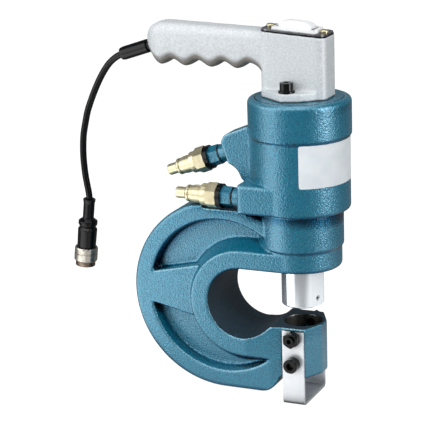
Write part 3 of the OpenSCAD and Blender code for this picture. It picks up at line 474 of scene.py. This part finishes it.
def hammered_paint(name, painted_light=False):
    """Blue hammered paint, with or without painted shade and painted highlights."""
    paint = Surface(name, PAINT_METALLIC)
    grain = paint.noise(scale=760, detail=3)
    flecks = paint.ramp(grain, linear((2, 97, 125)), linear((12, 126, 154)), span=(0.36, 0.66))
    if painted_light:
        paint.paint_light_and_shade(flecks)
    else:
        paint.set(Base_Color=flecks)
    paint.bump(paint.cells(scale=620, smoothness=0.6), strength=0.62, depth=0.0006)
    paint.bump(paint.noise(scale=1500, detail=2), strength=0.12, depth=0.0002)
    paint.set(Roughness=paint.spread(paint.noise(scale=500, detail=2), low=0.22, high=0.34),
              Specular_IOR_Level=1.0, Coat_Weight=0.3, Coat_Roughness=0.25)
    return paint.material


def coat(obj, material):
    """Give an object one material."""
    obj.data.materials.clear()
    obj.data.materials.append(material)


def coat_nodes(finishes):
    for part in frame["record"]["subparts"]:
        coat(nodes[part["node"]], finishes[part["material_slot"]])
    for node, name in NODE_FINISHES.items():
        coat(nodes[node], finish(name))


def new_piece(name, mesh):
    """A smooth piece on the frame."""
    for face in mesh.polygons:
        face.use_smooth = True
    piece = new_object(name, mesh)
    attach(piece, "frame")
    return piece


def add_prism(shape, outline, half_width):
    """A closed prism from an outline of (x, z) points, across Y."""
    near, far = [[shape.verts.new((x, y, z)) for x, z in outline] for y in (-half_width, half_width)]
    faces = [shape.faces.new(near), shape.faces.new(far[::-1])]
    for i in range(len(outline)):
        j = (i + 1) % len(outline)
        faces.append(shape.faces.new((near[j], near[i], far[i], far[j])))
    bmesh.ops.recalc_face_normals(shape, faces=faces)


def soften(node, material, run_in=None):
    """A cast skin over a CAD node: the same shape with its edges and corners run soft."""
    source = new_object(node + "_source", nodes[node].data.copy())
    welded = bmesh.new()
    welded.from_mesh(source.data)
    bmesh.ops.remove_doubles(welded, verts=welded.verts, dist=WELD_DISTANCE)
    if run_in:
        add_prism(welded, *run_in)
    welded.to_mesh(source.data)
    welded.free()
    remesh = source.modifiers.new("voxels", "REMESH")
    remesh.mode = "VOXEL"
    remesh.voxel_size = CAST_VOXEL
    smooth = source.modifiers.new("smooth", "SMOOTH")
    smooth.factor = CAST_SMOOTHING_FACTOR
    smooth.iterations = CAST_SMOOTHING
    graph = bpy.context.evaluated_depsgraph_get()
    mesh = bpy.data.meshes.new_from_object(source.evaluated_get(graph))
    bpy.data.objects.remove(source)
    skin = new_piece(node + "_cast", mesh)
    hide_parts(node)
    coat(skin, material)
    return skin


def finish_bare_and_shaded_faces(skin):
    """Bare steel in the die seat's bore, and dark bare casting in the throat and on the jaw's top, made dark
    enough to paint the shade that falls there as well.
    """
    skin.data.materials.append(finish("bored_steel"))
    skin.data.materials.append(finish("bare_casting_and_shade"))
    # The bare casting's dark colour also paints the shade in the throat and on the jaw
    bored, bare = 1, 2
    for face in skin.data.polygons:
        x, y, z = face.center
        across, up = abs(face.normal.y), face.normal.z
        from_seat = math.hypot(x, y)
        in_throat = math.hypot(x - THROAT_X, z - THROAT_Z) < THROAT_RADIUS and x < THROAT_FRONT
        on_jaw = up > FLAT_TURN and SEAT_TOP < z < THROAT_RADIUS and x < JAW_END
        on_lip = from_seat < SEAT_RADIUS + SEAT_LIP and SEAT_TOP <= z < SEAT_LIP
        if from_seat < SEAT_RADIUS and SEAT_FLOOR < z < SEAT_TOP:
            face.material_index = bored
        elif on_lip or across < EDGE_TURN and (in_throat or on_jaw):
            face.material_index = bare


def corner_inset(t, width, corner):
    """How far a rounded corner pulls an edge in at distance t along a side of that width."""
    near = min(t, width - t)
    if near >= corner:
        return 0.0
    return corner - math.sqrt(max(0.0, corner ** 2 - (corner - near) ** 2))


def add_plate():
    """A thin bare film on the barrel, with rounded corners and columns closer towards its ends."""
    width = PLATE_RADIUS * (PLATE_TO - PLATE_FROM)
    mesh = bpy.data.meshes.new("bare_plate")
    shape = bmesh.new()
    columns = []
    for i in range(PLATE_STEPS + 1):
        t = width * (0.5 - 0.5 * math.cos(math.pi * i / PLATE_STEPS))
        angle = PLATE_FROM + t / PLATE_RADIUS
        inset = corner_inset(t, width, PLATE_CORNER)
        x, y = PLATE_RADIUS * math.cos(angle), PLATE_RADIUS * math.sin(angle)
        columns.append([shape.verts.new((x, y, z)) for z in (PLATE_LOW + inset, PLATE_HIGH - inset)])
    for (a, b), (c, d) in zip(columns, columns[1:]):
        shape.faces.new((a, c, d, b))
    bmesh.ops.recalc_face_normals(shape, faces=shape.faces)
    for edge in shape.edges:
        edge.smooth = not edge.is_boundary
    shape.to_mesh(mesh)
    shape.free()
    plate = new_piece("bare_plate", mesh)
    plate.modifiers.new("film", "SOLIDIFY").thickness = PLATE_THICKNESS
    coat(plate, finish("plate_film"))


def floor_pools(tree):
    """The floor's glow in reflections: a low level all over, and more in each painted pool of light."""
    place = tree.add("NewGeometry").outputs["Position"]
    flat = tree.vector("MULTIPLY", place, (1, 1, 0))
    total = FLOOR_GLOW_MIRRORED
    for middle, full, faded, glow in PAINTED_LIGHT_POOLS:
        away = tree.vector("DISTANCE", flat, middle, result="Value")
        pool = tree.add("MapRange", interpolation_type="SMOOTHSTEP", Value=away,
                        From_Min=full, From_Max=faded, To_Min=glow, To_Max=0)
        total = tree.math("MAXIMUM", total, pool.outputs["Result"])
    return total


def add_floor():
    half = FLOOR_SIZE / 2
    level = cad_box[0][2]
    corners = [(-half, -half, level), (half, -half, level), (half, half, level), (-half, half, level)]
    mesh = bpy.data.meshes.new("floor")
    mesh.from_pydata(corners, [], [(0, 1, 2, 3)])
    material = bpy.data.materials.new("floor")
    material.use_nodes = True
    material.node_tree.nodes.clear()
    tree = Nodes(material.node_tree)
    ray = tree.add("LightPath").outputs
    # Painted pools of light, seen only in reflections
    mirrored = tree.math("MULTIPLY", ray["Is Glossy Ray"], floor_pools(tree))
    strength = tree.math("MULTIPLY_ADD", ray["Is Camera Ray"], FLOOR_GLOW, mirrored)
    diffuse = tree.add("BsdfDiffuse", Color=FLOOR_COLOUR).outputs[0]
    glow = tree.add("Emission", Strength=strength).outputs[0]
    tree.add("OutputMaterial", Surface=tree.add("AddShader", diffuse, glow).outputs[0])
    mesh.materials.append(material)
    new_object("floor", mesh)


def add_world():
    world = bpy.data.worlds.new("studio")
    scene.world = world
    world.use_nodes = True
    world.node_tree.nodes.clear()
    tree = Nodes(world.node_tree)
    ray = tree.add("LightPath").outputs
    height = tree.add("SeparateXYZ", tree.add("TexCoord").outputs["Generated"]).outputs["Z"]
    level = tree.spread(ray["Is Glossy Ray"], ROOM_LEVEL, ROOM_LEVEL_MIRRORED)
    tint = tree.ramp(height, ROOM_LOW, ROOM_HIGH, ROOM_SPAN)
    room = tree.add("Background", Color=tint, Strength=level).outputs[0]
    white = tree.add("Background", Color=WHITE).outputs[0]
    seen = tree.add("MixShader", ray["Is Camera Ray"], room, white).outputs[0]
    tree.add("OutputWorld", Surface=seen)


def add_softbox(name, place, size, power, mirrored=True, lights=True):
    data = bpy.data.lights.new(name, "AREA")
    data.shape = "RECTANGLE"
    data.size, data.size_y = size
    data.energy = power
    light = new_object(name, data)
    light.visible_glossy, light.visible_diffuse = mirrored, lights
    light.location = place
    light.rotation_euler = (Vector(LIGHT_AIM) - Vector(place)).to_track_quat("-Z", "Y").to_euler()


add_camera()
cord = add_cord()

slot_finishes = {slot: finish(name) for slot, name in SLOT_FINISHES.items()}
slot_finishes["hammered_paint"] = hammered_paint("hammered_paint")
coat_nodes(slot_finishes)
coat(cord, slot_finishes["seal_rubber"])

# Paint with painted shade and painted highlights, for the cast skins
painted_light_paint = hammered_paint("painted_light_hammered_paint", painted_light=True)
finish_bare_and_shaded_faces(soften("c_frame", painted_light_paint, run_in=(SPOKE_ROOT, SPOKE_HALF_WIDTH)))
soften("cylinder_body", painted_light_paint)
soften("handle", slot_finishes["cast_alloy"])
add_plate()

add_floor()
add_world()
for softbox in SOFTBOXES:
    add_softbox(**softbox)

scene.view_settings.view_transform = "Standard"
